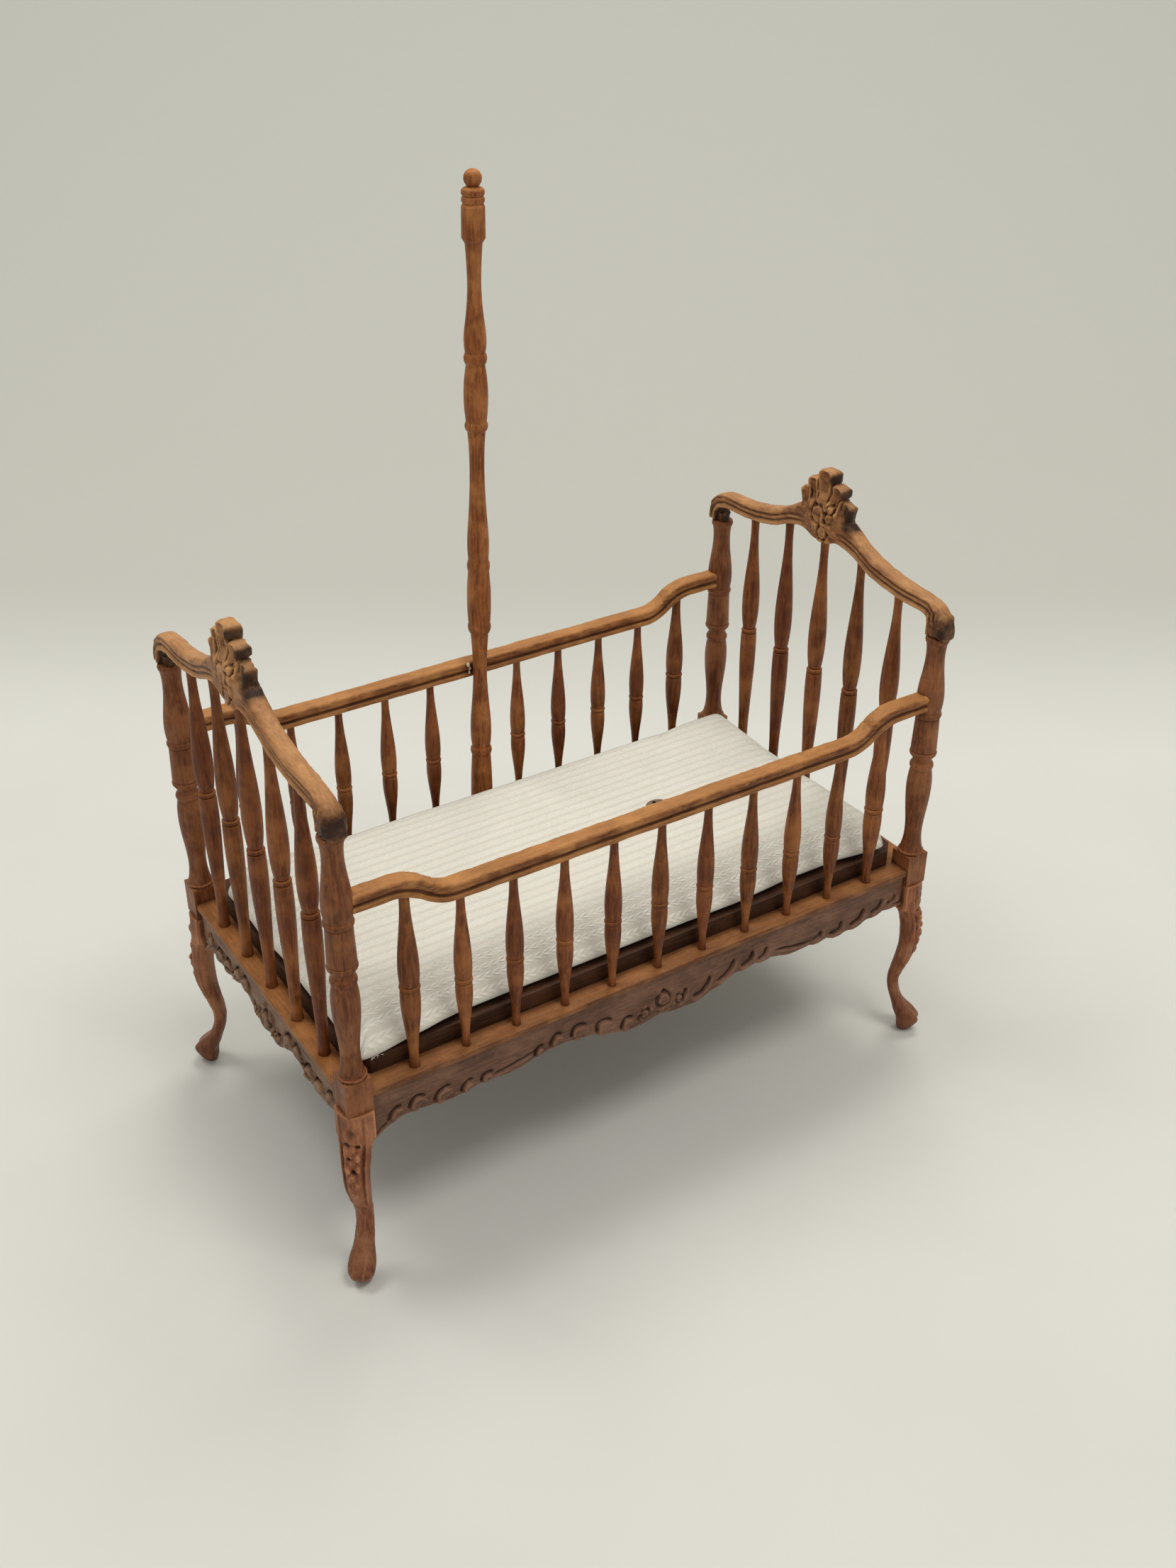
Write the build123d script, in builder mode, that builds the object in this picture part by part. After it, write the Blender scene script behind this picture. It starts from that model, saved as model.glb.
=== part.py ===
from build123d import *
import os
from math import sqrt

# A dolls-house cot at 1:12 scale, in millimetres.
# Origin: centre of the footprint, on the floor. +X runs along the length, +Y to the rear, +Z up.

# ---------------------------------------------------------------- driving dimensions
post_spacing_x = 118.0        # between the post axes, along the length
post_spacing_y = 63.0         # between the post axes, front to rear
frame_top = 39.8              # height of the frame boards' upper face above the floor
board_thickness = 1.0
board_outer = 2.1             # the boards' outer edge, outside the line of the post axes
board_inner = 5.0             # the boards' inner edge, inside that line
block_half = 2.3              # half the side of a post's square block
block_above = 3.1             # the block's top, above the frame boards
block_below = 3.5             # the block's bottom, below the frame boards' upper face
apron_outer = 1.9             # the aprons' outer face, outside the line of the post axes
apron_thickness = 1.8
platform_height = 3.2
platform_inset = 1.9          # the platform's edge, inside the line of the post axes
platform_chamfer = 2.2
rail_low = 30.3               # underside of a side top rail between its raised ends
rail_high = 34.4              # underside of its raised ends
rail_half_width = 1.7
rail_height = 3.2
rail_bend_start = 8.2         # the S-bend's two ends, from the post axis
rail_bend_end = 19.4
crown_round = 1.2
crest_thickness = 3.8
collar_top = 48.6             # top of a post's upper collar, where the crest rail sits
tenon_radius = 0.55
socket_play = 0.02            # radial room between a tenon and its socket
socket_depth = 1.0
side_spindles = 11
end_spindles = 5
side_pitch = 9.61
end_pitch = 10.44
pole_radius_at_rail = 1.45
pole_height = 123.5           # from the frame boards to the top of the ball
pole_lean = 1.0               # degrees, towards +X
pole_foot_x = -0.9
mattress_length = 111.6
mattress_depth = 54.3
mattress_thickness = 6.2
mattress_centre = (-0.9, -1.25)
mattress_gap = 0.1

half_x = post_spacing_x / 2
half_y = post_spacing_y / 2
corners = {
    "front_left": (-1, -1),
    "front_right": (1, -1),
    "rear_left": (-1, 1),
    "rear_right": (1, 1),
}
pole_y = half_y - rail_half_width - pole_radius_at_rail
rail_end = half_x - 1.2       # inside a post's surface, where the rail is scribed to it

os.makedirs("parts", exist_ok=True)


def save(part, name):
    """Label a finished piece and write it."""
    part.label = name
    export_step(part, f"parts/{name}.step")
    return part


def draw(stretches):
    """Draw an outline: two points make a line, three an arc, more a spline."""
    for points in stretches:
        if len(points) == 2:
            Line(*points)
        elif len(points) == 3:
            ThreePointArc(*points)
        else:
            Spline(*points)


def turned(x, y, z, stretches):
    """A piece turned on a lathe: its profile runs from axis to axis in (radius, height above z)."""
    with BuildPart() as piece:
        with BuildSketch(Plane(origin=(x, y, z), x_dir=(1, 0, 0), z_dir=(0, -1, 0))):
            with BuildLine():
                draw(stretches)
                Line(stretches[-1][-1], stretches[0][0])
            make_face()
        revolve(axis=Axis((x, y, z), (0, 0, 1)))
    return piece.part


# ---------------------------------------------------------------- posts
def post_profile():
    """The turned length of a post, from its block to the tenon in the crest rail."""
    base = block_above
    return [
        [(0, base), (2.2, base)],
        [(2.2, base), (2.45, base + 0.3), (2.2, base + 0.6)],
        [(2.2, base + 0.6), (1.62, 8.2), (1.95, 12.4), (2.32, 17.7), (1.95, 21.6)],
        [(1.95, 21.6), (2.2, 22.3), (1.95, 22.95)],
        [(1.95, 22.95), (1.75, 23.3)],
        [(1.75, 23.3), (1.75, 23.7)],
        [(1.75, 23.7), (2.3, 24.5)],
        [(2.3, 24.5), (2.5, 24.95), (2.4, 25.35)],
        [(2.4, 25.35), (2.2, 25.5)],
        [(2.2, 25.5), (2.38, 25.65)],
        [(2.38, 25.65), (2.2, 32.2)],
        [(2.2, 32.2), (2.05, 32.4)],
        [(2.05, 32.4), (2.45, 33.0), (2.2, 33.6)],
        [(2.2, 33.6), (2.42, 37.6), (1.95, 41.5), (1.7, 45.3), (1.9, 47.4)],
        [(1.9, 47.4), (2.15, 48.0), (2.0, collar_top)],
        [(2.0, collar_top), (1.0, collar_top)],
        [(1.0, collar_top), (1.0, collar_top + 1.6)],
        [(1.0, collar_top + 1.6), (0, collar_top + 1.6)],
    ]


def make_post(x, y):
    """A post: a square block on the leg, and the turned length above it."""
    shaft = turned(x, y, frame_top, post_profile())
    with BuildPart() as post:
        with BuildSketch(Plane(origin=(x, y, frame_top - block_below))):
            Rectangle(2 * block_half, 2 * block_half)
        extrude(amount=block_below + block_above)
        add(shaft)
    return post.part


posts = {}
for corner, (sx, sy) in corners.items():
    posts[corner] = save(make_post(sx * half_x, sy * half_y), f"{corner}_post")


# ---------------------------------------------------------------- cabriole legs
# Heights above the floor, how far the section stands outwards along the corner's diagonal,
# and the section's depth along that diagonal and width across it.
leg_sections = [
    (32.0, 0.6, 3.6, 4.4),
    (28.0, 1.7, 3.9, 4.9),
    (24.5, 2.2, 4.1, 5.0),
    (20.5, 2.1, 4.1, 4.6),
    (16.5, 1.1, 3.4, 3.7),
    (13.0, 0.3, 2.8, 3.1),
    (10.0, 0.4, 2.7, 2.9),
    (7.0, 1.6, 3.1, 3.4),
    (4.6, 3.2, 4.8, 4.6),
    (2.4, 3.5, 4.5, 4.3),
    (0.0, 3.5, 2.4, 2.4),
]


def make_leg(sx, sy):
    """A square stile between the aprons, and a cabriole leg below it."""
    diagonal = Vector(sx, sy, 0).normalized()
    stile_side = block_half + apron_outer
    stile_centre = (half_x - (block_half - apron_outer) / 2, half_y - (block_half - apron_outer) / 2)
    stile_bottom = frame_top - 8.2
    stile_top = frame_top - block_below
    with BuildPart() as leg:
        for height, outwards, depth, width in leg_sections:
            centre = Vector(sx * half_x, sy * half_y, height) + diagonal * outwards
            with BuildSketch(Plane(origin=centre, x_dir=diagonal, z_dir=(0, 0, 1))):
                RectangleRounded(depth, width, 0.4 * depth)
        loft()
        with BuildSketch(Plane(origin=(sx * stile_centre[0], sy * stile_centre[1], stile_bottom))):
            Rectangle(stile_side, stile_side)
        extrude(amount=stile_top - stile_bottom)
    return leg.part


for corner, (sx, sy) in corners.items():
    save(make_leg(sx, sy), f"{corner}_leg")


# ---------------------------------------------------------------- frame boards
def side_spindle_places():
    """Distances of the side spindles from the middle of the length."""
    return [(i - (side_spindles - 1) / 2) * side_pitch for i in range(side_spindles)]


def end_spindle_places():
    """Distances of the end spindles from the middle of the depth."""
    return [(i - (end_spindles - 1) / 2) * end_pitch for i in range(end_spindles)]


def make_side_board(sy):
    """A long board: its outer strip runs between the posts, its inner strip between the end boards."""
    outer_length = post_spacing_x - 2 * block_half
    inner_length = post_spacing_x - 2 * board_inner
    strip = board_outer + block_half
    inner_strip = board_inner - block_half
    strip_y = sy * (half_y + (board_outer - block_half) / 2)
    inner_y = sy * (half_y - (block_half + board_inner) / 2)
    bottom = frame_top - board_thickness
    holes = [(x, sy * half_y) for x in side_spindle_places() if sy < 0 or abs(x) > 1]
    with BuildPart() as board:
        with BuildSketch(Plane(origin=(0, 0, bottom))):
            with Locations((0, strip_y)):
                Rectangle(outer_length, strip)
            with Locations((0, inner_y)):
                Rectangle(inner_length, inner_strip)
            with Locations(*holes):
                Circle(tenon_radius + socket_play, mode=Mode.SUBTRACT)
        extrude(amount=board_thickness)
    return board.part


def make_end_board(sx):
    """A short board between the front and rear posts."""
    length = post_spacing_y - 2 * block_half
    middle = sx * (half_x + (board_outer - board_inner) / 2)
    holes = [(sx * half_x, y) for y in end_spindle_places()]
    with BuildPart() as board:
        with BuildSketch(Plane(origin=(0, 0, frame_top - board_thickness))):
            with Locations((middle, 0)):
                Rectangle(board_outer + board_inner, length)
            with Locations(*holes):
                Circle(tenon_radius + socket_play, mode=Mode.SUBTRACT)
        extrude(amount=board_thickness)
    return board.part


save(make_side_board(-1), "front_frame_rail")
save(make_side_board(1), "rear_frame_rail")
save(make_end_board(-1), "left_frame_rail")
save(make_end_board(1), "right_frame_rail")


# ---------------------------------------------------------------- aprons
# Half of a lower edge: distances from the middle as a share of the half length, and drops below the top.
apron_edge = [
    (0.0, 8.9),
    (0.10, 9.6),
    (0.19, 8.5),
    (0.28, 6.9),
    (0.40, 6.3),
    (0.53, 7.7),
    (0.64, 7.4),
    (0.74, 8.0),
    (0.87, 7.2),
    (0.95, 7.9),
    (1.0, 9.8),
]


def make_apron(plane, half_length, share_of_drop):
    """A shaped board under a frame board: plane's x runs along it and its y is up."""
    edge = [(share * half_length, -drop * share_of_drop) for share, drop in apron_edge]
    mirrored = [(-x, y) for x, y in reversed(edge[1:])]
    with BuildPart() as apron:
        with BuildSketch(plane):
            with BuildLine():
                Spline(*mirrored, *edge)
                Polyline(edge[-1], (half_length, 0), (-half_length, 0), mirrored[0])
            make_face()
        extrude(amount=apron_thickness)
    return apron.part


apron_top = frame_top - board_thickness
apron_half_x = half_x - block_half
apron_half_y = half_y - block_half
apron_face_x = half_x + apron_outer - apron_thickness
apron_face_y = half_y + apron_outer - apron_thickness
front_plane = Plane(origin=(0, -apron_face_y, apron_top), x_dir=(1, 0, 0), z_dir=(0, -1, 0))
rear_plane = Plane(origin=(0, apron_face_y, apron_top), x_dir=(-1, 0, 0), z_dir=(0, 1, 0))
left_plane = Plane(origin=(-apron_face_x, 0, apron_top), x_dir=(0, -1, 0), z_dir=(-1, 0, 0))
right_plane = Plane(origin=(apron_face_x, 0, apron_top), x_dir=(0, 1, 0), z_dir=(1, 0, 0))
save(make_apron(front_plane, apron_half_x, 1.0), "front_apron")
save(make_apron(rear_plane, apron_half_x, 1.0), "rear_apron")
save(make_apron(left_plane, apron_half_y, 1.0), "left_apron")
save(make_apron(right_plane, apron_half_y, 1.0), "right_apron")


# ---------------------------------------------------------------- mattress platform
def make_platform():
    """The raised board that carries the mattress, with cut corners and a notch for the pole."""
    notch_radius = 2.35
    with BuildPart() as platform:
        with BuildSketch(Plane.XY.offset(frame_top)) as outline:
            Rectangle(2 * (half_x - platform_inset), 2 * (half_y - platform_inset))
            chamfer(outline.vertices(), platform_chamfer)
            with Locations((pole_foot_x, pole_y)):
                Circle(notch_radius, mode=Mode.SUBTRACT)
            with Locations((pole_foot_x, pole_y + notch_radius)):
                Rectangle(2 * notch_radius, 2 * notch_radius, mode=Mode.SUBTRACT)
        extrude(amount=platform_height)
    return platform.part


save(make_platform(), "mattress_platform")


# ---------------------------------------------------------------- side top rails
def rail_curve(lift):
    """A side top rail's run in elevation, lifted above its underside: S-bends of two arcs join its levels."""
    low = frame_top + rail_low + lift
    high = frame_top + rail_high + lift
    outer = half_x - rail_bend_start
    inner = half_x - rail_bend_end
    bend_x = (outer + inner) / 2
    bend_z = (low + high) / 2
    Line((-rail_end, high), (-outer, high))
    TangentArc((-outer, high), (-bend_x, bend_z), tangent=(1, 0))
    TangentArc((-inner, low), (-bend_x, bend_z), tangent=(-1, 0))
    Line((-inner, low), (inner, low))
    TangentArc((inner, low), (bend_x, bend_z), tangent=(1, 0))
    TangentArc((outer, high), (bend_x, bend_z), tangent=(-1, 0))
    Line((outer, high), (rail_end, high))


# The rail's layers from its underside up, a bead, a groove and the crown: bottom, top and half width.
rail_layers = [(0.0, 0.95, 1.6), (0.95, 1.3, 1.3), (1.3, rail_height, rail_half_width)]


def crown_edges(rail, y):
    """The two long upper edges of the crown, where its sides meet its upward faces."""
    upward = rail.faces().filter_by(lambda face: face.normal_at(face.center()).Z > 0.5)
    crown = [face for face in upward if face.bounding_box().size.Y > 1.99 * rail_half_width]
    return [edge for face in crown for edge in face.edges()
            if abs(abs(edge.center().Y - y) - rail_half_width) < 0.01]


def make_side_rail(y, left_post, right_post):
    """A crowned top rail with a groove and a bead along its lower edge, scribed to the posts."""
    sockets = [x for x in side_spindle_places() if y < 0 or abs(x) > 1]
    with BuildPart() as rail:
        for bottom, top, half_width in rail_layers:
            with BuildSketch(Plane.XZ.offset(-y)):
                with BuildLine():
                    rail_curve(bottom)
                    rail_curve(top)
                    for x in (-rail_end, rail_end):
                        Line((x, frame_top + rail_high + bottom), (x, frame_top + rail_high + top))
                make_face()
            extrude(amount=half_width, both=True)
        fillet(crown_edges(rail, y), crown_round)
        add(left_post, mode=Mode.SUBTRACT)
        add(right_post, mode=Mode.SUBTRACT)
        for x in sockets:
            with BuildSketch(Plane(origin=(x, y, frame_top + rail_low - 1))):
                Circle(side_top_radius(x) + socket_play)
            extrude(amount=side_reach(x) - rail_low + 1, mode=Mode.SUBTRACT)
    return rail.part


# ---------------------------------------------------------------- spindles
def spindle_profile(reach, ring, foot, swell, top, pinch):
    """A spindle from the tenon in the board to its top end; ring is the height of its ring, which has an
    incised line above and below it, and pinch is how narrow the neck above it is, as a share of the swell."""
    half_ring = 0.65
    line = 0.17
    neck = 0.92 * swell
    waist = (pinch - 0.12) * swell
    ring_radius = 0.5 * (1 + pinch + 0.08) * swell
    above = ring + half_ring
    below = ring - half_ring
    return [
        [(0, -board_thickness), (tenon_radius, -board_thickness)],
        [(tenon_radius, -board_thickness), (tenon_radius, 0)],
        [(tenon_radius, 0), (foot, 0)],
        [(foot, 0), (0.93 * foot, 0.7)],
        [(0.93 * foot, 0.7), (0.5 * (foot + neck), 0.5 * ring), (0.96 * swell, 0.85 * ring), (neck, below)],
        [(neck, below), (waist, below + line)],
        [(waist, below + line), (ring_radius, ring), (waist, above - line)],
        [(waist, above - line), (pinch * swell, above)],
        [(pinch * swell, above), (swell, above + 0.15 * (reach - above)),
         (0.6 * top + 0.4 * swell, above + 0.55 * (reach - above)), (top, reach)],
        [(top, reach), (0, reach)],
    ]


def side_is_long(x):
    """The first and last side spindles stand under the raised ends of the rail."""
    return abs(x) > 4.5 * side_pitch


def side_reach(x):
    """Top of a side spindle: a socket's depth above the rail's underside."""
    under_bend = 33.5
    if side_is_long(x):
        return under_bend + socket_depth
    return rail_low + socket_depth


def side_top_radius(x):
    """Radius of a side spindle's upper end."""
    return 0.9 if side_is_long(x) else 0.75


def make_side_spindle(x, y):
    """A spindle under a side top rail; the two end ones are longer and stouter."""
    if side_is_long(x):
        shape = spindle_profile(side_reach(x), 16.2, 0.9, 1.74, side_top_radius(x), 0.92)
    else:
        shape = spindle_profile(side_reach(x), 13.6, 0.76, 1.5, side_top_radius(x), 0.92)
    return turned(x, y, frame_top, shape)


front_rail = save(make_side_rail(-half_y, posts["front_left"], posts["front_right"]), "front_top_rail")
save(make_side_rail(half_y, posts["rear_left"], posts["rear_right"]), "rear_top_rail")

for number, x in enumerate(side_spindle_places(), start=1):
    save(make_side_spindle(x, -half_y), f"front_spindle_{number:02d}")
    if abs(x) > 1:
        save(make_side_spindle(x, half_y), f"rear_spindle_{number:02d}")


# ---------------------------------------------------------------- crest rails
# Half of a crest rail's outline: distances from the middle, and heights above the frame boards.
crest_top = [
    [(0, 69.4), (1.5, 68.8), (1.9, 67.0)],
    [(1.9, 67.0), (3.6, 67.1), (4.1, 64.9)],
    [(4.1, 64.9), (5.9, 64.9), (6.3, 61.9)],
    [(6.3, 61.9), (7.0, 61.0)],
    [(7.0, 61.0), (12.7, 57.9), (22.0, 55.7), (28.5, 55.2)],
    [(28.5, 55.2), (32.9, 53.4), (34.2, 50.6)],
    [(34.2, 50.6), (34.2, collar_top)],
    [(34.2, collar_top), (29.8, collar_top)],
    [(29.8, collar_top), (29.8, 51.0)],
    [(29.8, 51.0), (29.3, 52.1), (28.0, 52.4)],
]
crest_underside = [(28.0, 52.4), (21.0, 52.6), (14.0, 53.9), (9.0, 55.9), (5.0, 56.7), (2.4, 56.0), (0, 55.6)]


def crest_bottom(y):
    """Height of the crest rail's underside over an end spindle, above the frame boards."""
    heights = {0: 55.6, 1: 55.4, 2: 52.6}
    return heights[round(abs(y) / end_pitch)]


end_spindle_ring = 28.1
end_spindle_foot = 1.08
end_spindle_swell = 1.68
end_spindle_top = 0.93
end_spindle_pinch = 0.76


def make_end_spindle(x, y):
    """A tall spindle under a crest rail."""
    reach = crest_bottom(y) + socket_depth
    profile = spindle_profile(
        reach, end_spindle_ring, end_spindle_foot, end_spindle_swell, end_spindle_top, end_spindle_pinch
    )
    return turned(x, y, frame_top, profile)


cutter_lead = 4.0
post_peg_radius = 1.0
post_peg_length = 1.6


def make_crest(sx):
    """A serpentine crest rail with a stepped shell at its middle and ends turned down on the posts."""
    face = sx * half_x - crest_thickness / 2
    under = crest_underside + [(-d, z) for d, z in reversed(crest_underside[:-1])]
    with BuildPart() as crest:
        with BuildSketch(Plane(origin=(face, 0, frame_top), x_dir=(0, 1, 0), z_dir=(1, 0, 0))):
            with BuildLine():
                draw(crest_top)
                draw([[(-d, z) for d, z in points] for points in crest_top])
                Spline(*under)
            make_face()
        extrude(amount=crest_thickness)
        for y in end_spindle_places():
            with BuildSketch(Plane(origin=(sx * half_x, y, frame_top + crest_bottom(y) - cutter_lead))):
                Circle(end_spindle_top + socket_play)
            extrude(amount=cutter_lead + socket_depth, mode=Mode.SUBTRACT)
        for sy in (-1, 1):
            with BuildSketch(Plane(origin=(sx * half_x, sy * half_y, frame_top + collar_top))):
                Circle(post_peg_radius + socket_play)
            extrude(amount=post_peg_length + socket_play, mode=Mode.SUBTRACT)
    return crest.part


save(make_crest(-1), "left_crest_rail")
save(make_crest(1), "right_crest_rail")
for number, y in enumerate(end_spindle_places(), start=1):
    save(make_end_spindle(-half_x, y), f"left_spindle_{number:02d}")
    save(make_end_spindle(half_x, y), f"right_spindle_{number:02d}")


# ---------------------------------------------------------------- canopy pole
ball_radius = 1.55
ball_neck = 0.95
ball_middle = pole_height - ball_radius
ball_start = ball_middle - sqrt(ball_radius**2 - ball_neck**2)
pole_profile = [
    [(0, -1), (2.05, -1)],
    [(2.05, -1), (2.05, 9.5), (1.83, 13.9)],
    [(1.83, 13.9), (2.08, 14.8), (1.78, 15.7)],
    [(1.78, 15.7), (2.0, 20.5), (1.6, 26.0), (1.32, 32.5), (1.45, 36.5), (1.68, 40.0)],
    [(1.68, 40.0), (2.15, 41.0), (2.05, 42.1)],
    [(2.05, 42.1), (2.24, 47.5), (1.95, 52.7)],
    [(1.95, 52.7), (2.12, 53.8), (1.86, 54.9)],
    [(1.86, 54.9), (2.0, 58.0), (1.65, 64.0), (1.35, 70.5), (1.35, 74.5), (1.62, 79.3)],
    [(1.62, 79.3), (2.08, 80.2), (1.85, 81.1)],
    [(1.85, 81.1), (2.15, 86.5), (1.68, 91.2)],
    [(1.68, 91.2), (2.05, 92.3), (1.78, 93.3)],
    [(1.78, 93.3), (1.98, 95.6), (1.6, 99.2), (1.2, 104.5), (1.3, 108.6), (1.5, 111.6)],
    [(1.5, 111.6), (2.05, 112.5)],
    [(2.05, 112.5), (2.0, 117.5)],
    [(2.0, 117.5), (1.72, 118.0)],
    [(1.72, 118.0), (1.97, 118.6), (1.72, 119.15)],
    [(1.72, 119.15), (1.98, 119.8), (1.2, 120.6)],
    [(1.2, 120.6), (ball_neck, ball_start)],
    [(ball_neck, ball_start), (ball_radius, ball_middle), (0, pole_height)],
]


def make_pole():
    """The turned pole: it stands on the rear board, leans slightly and is glued to the rear rail."""
    upright = turned(0, 0, 0, pole_profile)
    with BuildPart() as pole:
        with Locations(Location((pole_foot_x, pole_y, frame_top), (0, pole_lean, 0))):
            add(upright)
        split(bisect_by=Plane.XY.offset(frame_top), keep=Keep.TOP)
    return pole.part


save(make_pole(), "canopy_pole")


# ---------------------------------------------------------------- pierced lug
lug_inset = 1.3
lug_centre = (-0.3, -half_y + lug_inset)
lug_radii = (1.95, 1.5)
lug_hole_inset = 2.12
lug_hole_radius = 0.33
lug_height = 32.0
lug_thickness = 0.9


def make_lug():
    """A small half-round lug on the inner side of the front rail, with a hole through it."""
    with BuildPart() as lug:
        with BuildSketch(Plane.XY.offset(frame_top + lug_height)):
            with Locations(lug_centre):
                Ellipse(*lug_radii)
            with Locations((lug_centre[0], -half_y + lug_hole_inset)):
                Circle(lug_hole_radius, mode=Mode.SUBTRACT)
        extrude(amount=lug_thickness)
        split(bisect_by=Plane.XZ.offset(half_y - lug_inset), keep=Keep.BOTTOM)
        add(front_rail, mode=Mode.SUBTRACT)
    return lug.part


save(make_lug(), "front_rail_lug")


# ---------------------------------------------------------------- mattress
mattress_corner = 2.5
mattress_edge_round = 2.0


def make_mattress():
    """The loose pad, as a plain rounded block."""
    bottom = frame_top + platform_height + mattress_gap
    with BuildPart() as mattress:
        with BuildSketch(Plane(origin=(*mattress_centre, bottom))):
            RectangleRounded(mattress_length, mattress_depth, mattress_corner)
        extrude(amount=mattress_thickness)
        fillet(mattress.faces().sort_by(Axis.Z)[-1].edges(), mattress_edge_round)
    return mattress.part


save(make_mattress(), "mattress")
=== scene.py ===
import math
import bpy
import numpy as np
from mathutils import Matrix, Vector


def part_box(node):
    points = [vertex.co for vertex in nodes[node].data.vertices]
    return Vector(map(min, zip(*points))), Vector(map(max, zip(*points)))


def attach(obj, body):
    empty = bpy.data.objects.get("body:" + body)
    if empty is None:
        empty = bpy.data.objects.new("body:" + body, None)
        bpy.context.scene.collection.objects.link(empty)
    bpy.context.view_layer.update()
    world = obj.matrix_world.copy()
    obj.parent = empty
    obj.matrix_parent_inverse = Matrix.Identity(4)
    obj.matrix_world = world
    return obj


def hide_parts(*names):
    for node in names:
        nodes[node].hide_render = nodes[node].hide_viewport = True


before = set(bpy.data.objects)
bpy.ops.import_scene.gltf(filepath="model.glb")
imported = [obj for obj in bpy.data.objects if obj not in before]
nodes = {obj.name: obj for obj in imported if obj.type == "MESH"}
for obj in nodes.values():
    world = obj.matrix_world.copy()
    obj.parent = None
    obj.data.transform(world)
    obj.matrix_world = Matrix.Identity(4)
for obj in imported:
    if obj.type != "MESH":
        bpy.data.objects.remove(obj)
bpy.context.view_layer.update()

MM = 0.001


def box_mm(node):
    """The lowest and highest corners of a CAD node, in millimetres."""
    low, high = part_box(node)
    return np.array(low) / MM, np.array(high) / MM


frame_top = box_mm("mattress_platform")[0][2]
front_line = sum(corner[1] for corner in box_mm("front_left_post")) / 2
left_line = sum(corner[0] for corner in box_mm("front_left_post")) / 2
half_x = -left_line
half_y = -front_line


# ------------------------ carving tools
def ease(value, start, end):
    """0 below start, 1 above end, and smooth between them."""
    t = np.clip((value - start) / (end - start), 0, 1)
    return t * t * (3 - 2 * t)


def ridge(distance, width):
    """1 on a line, falling smoothly to 0 over about twice the width."""
    return np.exp(-(distance / width) ** 2)


def blend_min(a, b, radius):
    """The union of two solids, with a fillet of that radius."""
    t = np.clip(0.5 + 0.5 * (b - a) / radius, 0, 1)
    return b * (1 - t) + a * t - radius * t * (1 - t)


def rounded_corner(a, b, radius):
    """The intersection of two solids, with a true round along their common edge."""
    a = a + radius
    b = b + radius
    outside = np.hypot(np.maximum(a, 0), np.maximum(b, 0))
    return outside + np.minimum(np.maximum(a, b), 0) - radius


def rounded_box(u, v, centre, half, turn, radius):
    """Distance from a rounded rectangle, turned by that many degrees clockwise."""
    c = math.cos(math.radians(turn))
    s = math.sin(math.radians(turn))
    du = u - centre[0]
    dv = v - centre[1]
    a = np.abs(c * du - s * dv) - half[0]
    b = np.abs(s * du + c * dv) - half[1]
    return rounded_corner(a, b, radius)


def line_distance(u, v, points):
    """Distance from an open run of straight lines."""
    nearest = np.full(np.shape(u), 1e9)
    for (u0, v0), (u1, v1) in zip(points, points[1:]):
        du = u1 - u0
        dv = v1 - v0
        t = np.clip(((u - u0) * du + (v - v0) * dv) / (du * du + dv * dv), 0, 1)
        nearest = np.minimum(nearest, np.hypot(u - u0 - t * du, v - v0 - t * dv))
    return nearest


def outline_distance(u, v, points):
    """Signed distance from a closed outline, negative inside."""
    closed = points + points[:1]
    inside = np.zeros(np.shape(u), bool)
    for (u0, v0), (u1, v1) in zip(closed, closed[1:]):
        if v0 != v1:
            crosses = (v0 > v) != (v1 > v)
            inside ^= crosses & (u < u0 + (v - v0) * (u1 - u0) / (v1 - v0))
    distance = line_distance(u, v, closed)
    return np.where(inside, -distance, distance)


def between(t, a, b, c, d):
    """A smooth value that goes from b to c as t goes from 0 to 1, after a and before d."""
    bend = 2 * a - 5 * b + 4 * c - d
    twist = 3 * b - a - 3 * c + d
    return 0.5 * (2 * b + (c - a) * t + bend * t * t + twist * t ** 3)


def curve_through(points, steps=6):
    """A smooth run through the given points."""
    padded = [points[0]] + list(points) + [points[-1]]
    run = []
    for four in zip(padded, padded[1:], padded[2:], padded[3:]):
        for i in range(steps):
            run.append(tuple(between(i / steps, *values) for values in zip(*four)))
    run.append(tuple(points[-1]))
    return run


def noise(x, y, z, size, seed):
    """Smooth noise between -1 and 1, with features of about that size."""
    lattice = np.random.default_rng(seed).uniform(-1, 1, (32, 32, 32)).astype(np.float32)
    scale = np.broadcast_to(size, 3)
    cells = []
    for axis, values in enumerate((x, y, z)):
        scaled = np.asarray(values, np.float32) / scale[axis] + 500
        whole = np.floor(scaled)
        part = scaled - whole
        cells.append((whole.astype(int), part * part * (3 - 2 * part)))
    total = 0
    for corner in range(8):
        weight = 1
        place = []
        for axis, (whole, part) in enumerate(cells):
            bit = corner >> axis & 1
            weight = weight * (part if bit else 1 - part)
            place.append((whole + bit) & 31)
        total = total + weight * lattice[tuple(place)]
    return total


def averaged(volume, reach):
    """A volume averaged over a cube that reaches that many cells each way."""
    for axis in range(3):
        pads = [(0, 0)] * 3
        pads[axis] = (reach + 1, reach)
        run = np.cumsum(np.pad(volume, pads, mode="edge"), axis=axis, dtype=np.float64)
        width = 2 * reach + 1
        ahead = np.take(run, range(width, run.shape[axis]), axis=axis)
        behind = np.take(run, range(0, run.shape[axis] - width), axis=axis)
        volume = (ahead - behind) / width
    return volume


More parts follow.
